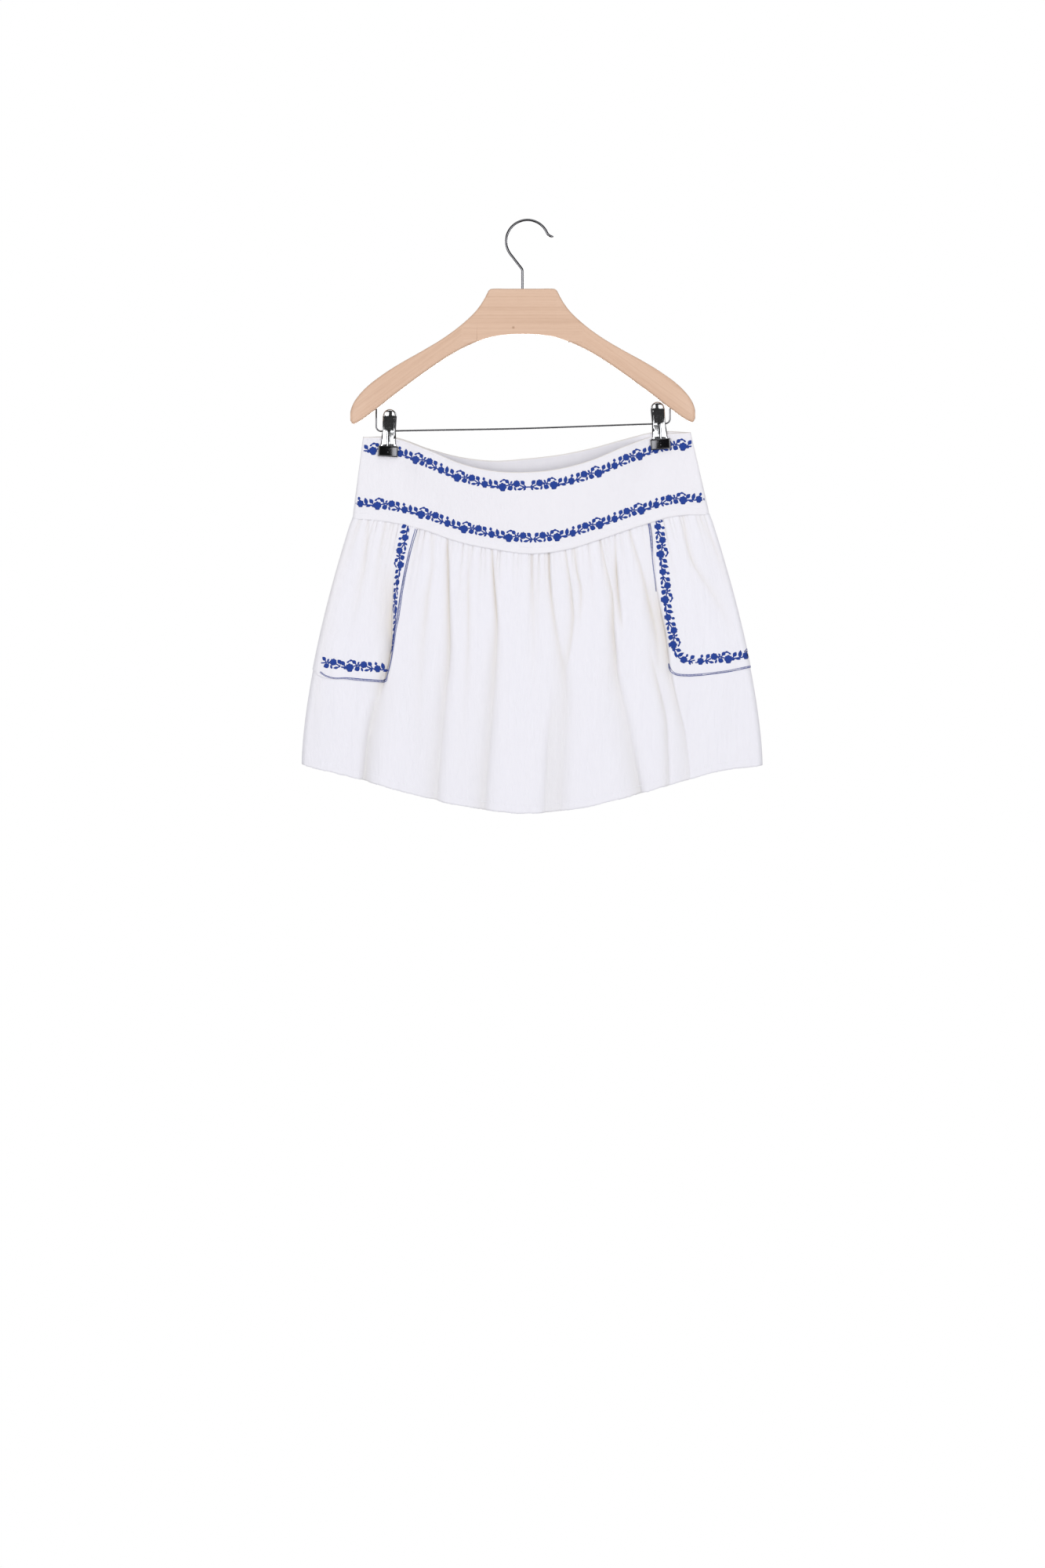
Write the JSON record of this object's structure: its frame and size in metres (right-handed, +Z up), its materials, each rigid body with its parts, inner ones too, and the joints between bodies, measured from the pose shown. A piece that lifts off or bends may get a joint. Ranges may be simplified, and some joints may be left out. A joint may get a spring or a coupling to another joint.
{
  "type": "embroidered skirt on clip hanger",
  "caption": "Gathered white gauze skirt with a deep hip yoke and patch pockets, hung by its waist from a wooden clip hanger.",
  "frame": {"origin": "inside of the hook's crown, where a rail carries the hanger", "axes": "+Z up, +X to the viewer's right, -Y out of the skirt's front"},
  "size_m": [0.5882, 0.0586, 0.7549],
  "materials": {
    "cloth": "soft crinkled double gauze",
    "thread": "blue embroidery cotton",
    "wood": "pale beech, satin varnish",
    "chrome": "polished"
  },
  "bodies": {
    "root": {"skirt_front": "cloth", "skirt_back": "cloth", "yoke_front": "cloth", "yoke_back": "cloth", "pocket_left": "cloth", "pocket_right": "cloth", "hanger_arch": "wood", "hanger_hook": "chrome", "hanger_rod": "chrome", "clip_left_front": "chrome", "clip_left_back": "chrome", "clip_left_sleeve": "chrome", "clip_right_front": "chrome", "clip_right_back": "chrome", "clip_right_sleeve": "chrome"}
  },
  "joints": []
}
